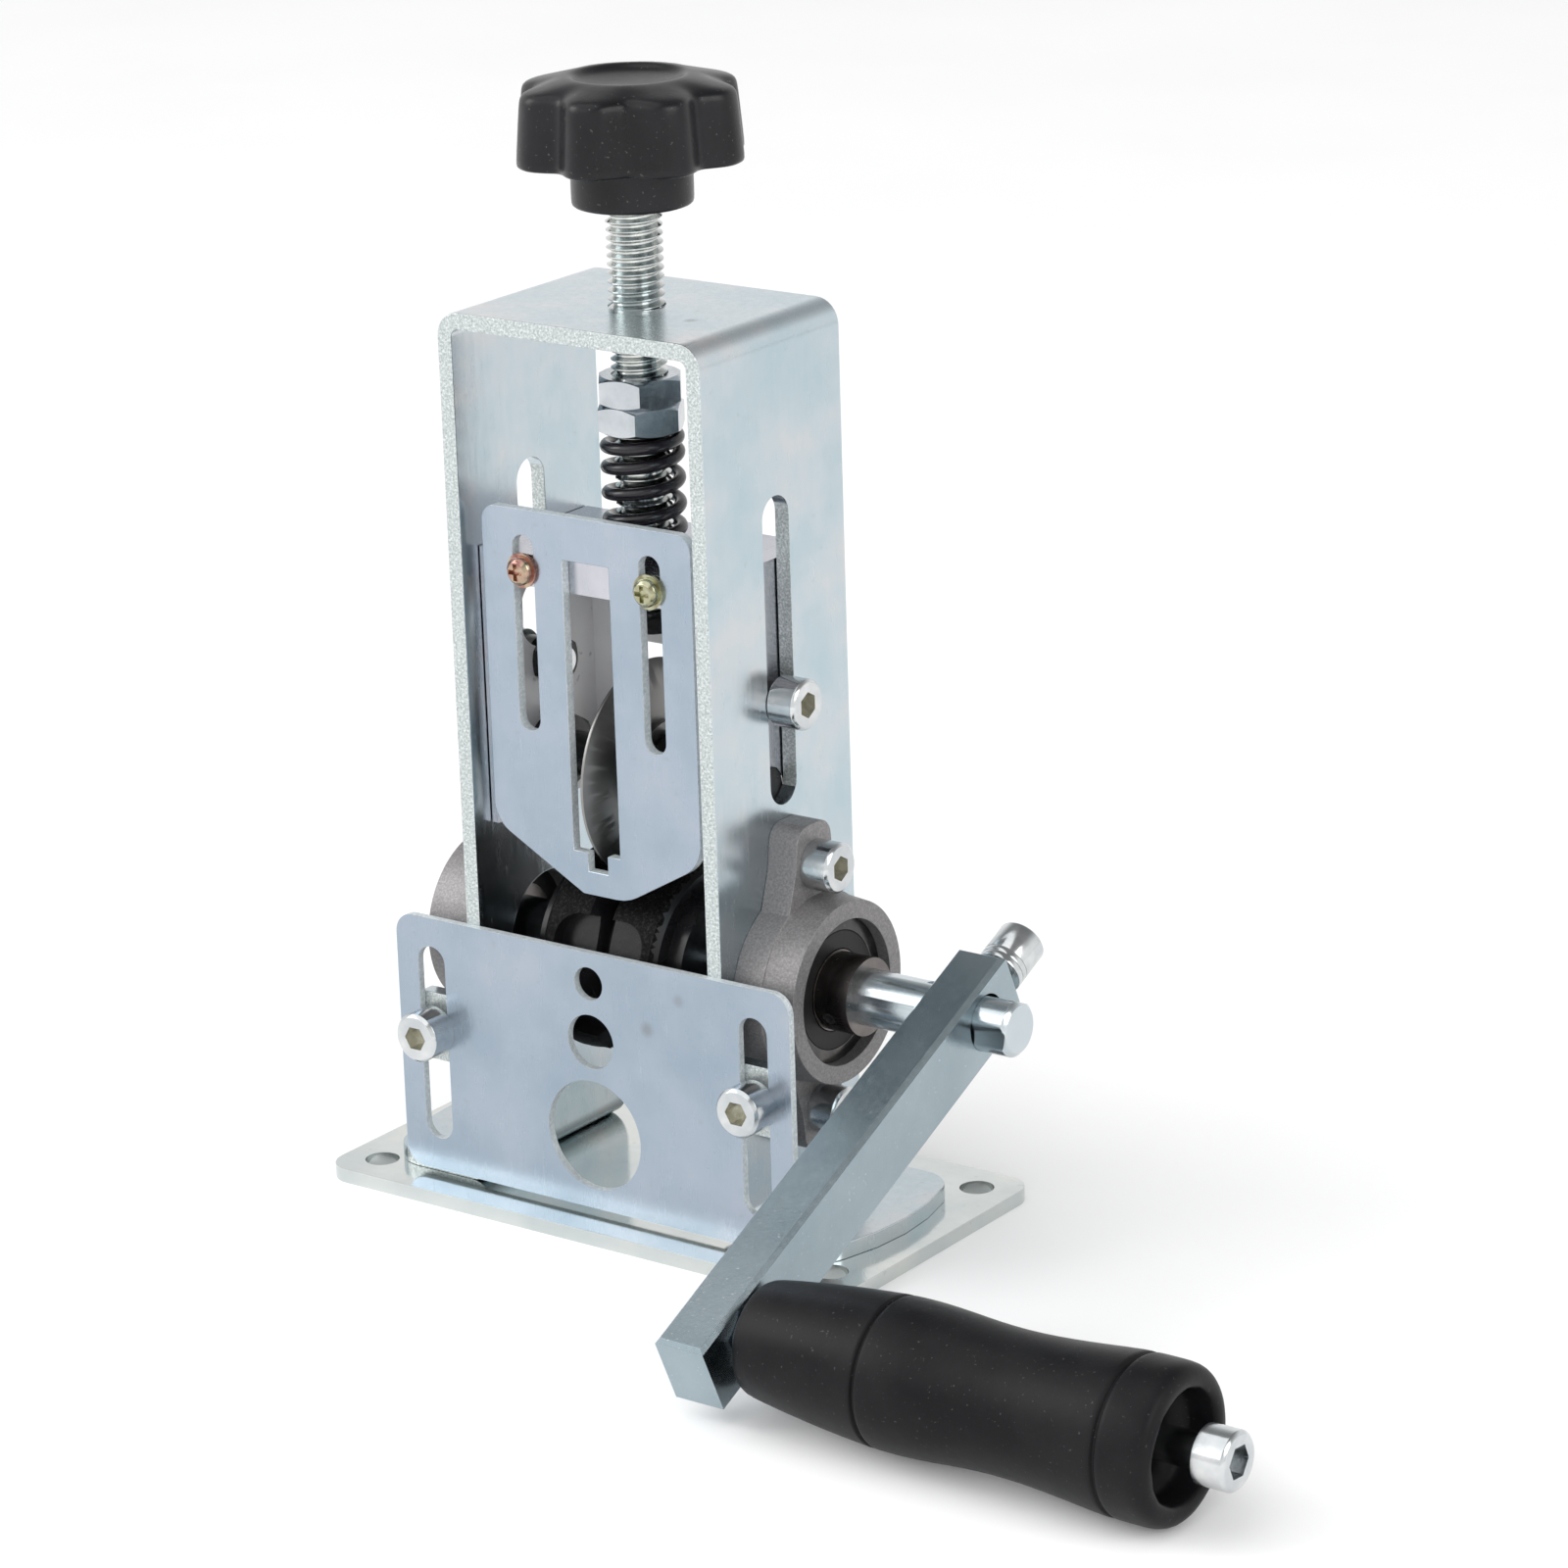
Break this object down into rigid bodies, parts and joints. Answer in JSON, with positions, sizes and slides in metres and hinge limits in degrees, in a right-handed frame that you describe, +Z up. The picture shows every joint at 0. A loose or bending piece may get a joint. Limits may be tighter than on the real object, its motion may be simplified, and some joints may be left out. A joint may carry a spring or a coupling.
{
  "type": "hand crank wire stripper",
  "caption": "Bench wire stripper: a hand crank turns a fluted roller under a cutter wheel that a lobed knob lowers through a spring, with a holed feed plate in front.",
  "frame": {"origin": "centre of the base plate's four bolt holes, on its underside", "axes": "+X towards the crank along the drive shaft, +Y from the feed plate to the back, +Z up"},
  "size_m": [0.2195, 0.1153, 0.203],
  "materials": {
    "zinc_sheet": "bright zinc plated sheet, half mirror-like, sheared edges",
    "zinc_plate": "pale blue zinc plated plate, faintly brushed",
    "carriage_steel": "brushed zinc plated sheet",
    "zinc_screw": "bright zinc plated screws and nuts",
    "copper_screw": "coppery red plated screw",
    "yellow_screw": "yellow chromate screw",
    "black_steel": "blackened steel",
    "cutter_steel": "dark polished tool steel",
    "bush_bronze": "sintered bronze",
    "shaft_steel": "turned bright steel",
    "roller_steel": "blackened steel with rough lands",
    "cast_grey": "grey cast housing",
    "collar_steel": "dark ground steel",
    "ball_steel": "polished balls",
    "seal_rubber": "black seal",
    "arm_zinc": "speckled zinc plated bar",
    "grip_rubber": "satin black rubber",
    "knob_plastic": "satin black moulding",
    "insert_zinc": "die cast insert"
  },
  "bodies": {
    "stand": {"base_plate": "zinc_sheet", "frame": "zinc_sheet", "base_screws": "zinc_screw", "feed_screws": "zinc_screw", "bearing_housing_left": "cast_grey", "bearing_housing_right": "cast_grey", "bearing_outer_rings": "shaft_steel", "bearing_balls": "ball_steel", "bearing_seals": "seal_rubber", "bearing_screws": "zinc_screw"},
    "feed": {"feed_plate": "zinc_plate"},
    "crank": {"drive_shaft": "shaft_steel", "drive_roller": "roller_steel", "roller_grub_screw": "black_steel", "bearing_inner_rings": "collar_steel", "bearing_grub_screws": "black_steel", "crank_arm": "arm_zinc", "crank_clamp_screw": "zinc_screw", "crank_washers": "zinc_screw", "handle_bolt": "zinc_screw", "handle_nut": "zinc_screw"},
    "handle": {"grip": "grip_rubber"},
    "lift": {"spring": "black_steel"},
    "screw": {"adjusting_screw": "zinc_screw", "knob": "knob_plastic", "knob_insert": "insert_zinc", "jam_nuts": "zinc_screw", "retaining_nut": "black_steel"},
    "slider": {"carriage": "carriage_steel", "guide_screws": "zinc_screw", "guide_bushes": "black_steel", "guide_nuts": "black_steel", "wheel_axle": "black_steel", "axle_nuts": "black_steel", "guard_screw_left": "copper_screw", "guard_screw_right": "yellow_screw"},
    "wheel": {"cutter_wheel": "cutter_steel", "wheel_bush": "bush_bronze"},
    "guard": {"guard_plate": "zinc_plate"}
  },
  "joints": [
    {"name": "crank_turn", "type": "hinge", "parent": "stand", "child": "crank", "pos_m": [0, -0.0017, 0.04545], "axis": [1, 0, 0], "continuous": true},
    {"name": "grip_spin", "type": "hinge", "parent": "crank", "child": "handle", "pos_m": [0.07, -0.07193, 0.01389], "axis": [1, 0, 0], "continuous": true},
    {"name": "screw_lift", "type": "slide", "parent": "stand", "child": "lift", "axis": [0, 0, 1], "range_m": [-0.0008, 0.0088]},
    {"name": "knob_turn", "type": "hinge", "parent": "lift", "child": "screw", "pos_m": [0, -0.0017, 0.19], "axis": [0, 0, 1], "range_deg": [-193, 2114]},
    {"name": "carriage_travel", "type": "slide", "parent": "lift", "child": "slider", "axis": [0, 0, 1], "range_m": [0, 0.0055], "stiffness_N_per_m": 29000, "deforming": ["spring"]},
    {"name": "wheel_spin", "type": "hinge", "parent": "slider", "child": "wheel", "pos_m": [-0.0012, -0.0017, 0.0798], "axis": [1, 0, 0], "continuous": true},
    {"name": "guard_slide", "type": "slide", "parent": "slider", "child": "guard", "axis": [0, 0, 1], "range_m": [-0.002, 0.0014]},
    {"name": "feed_plate_slide", "type": "slide", "parent": "stand", "child": "feed", "axis": [0, 0, 1], "range_m": [-0.001, 0.0175]}
  ],
  "couplings": [
    {"joint": "knob_turn", "follows": "screw_lift", "rad_per_m": 4188.8}
  ]
}
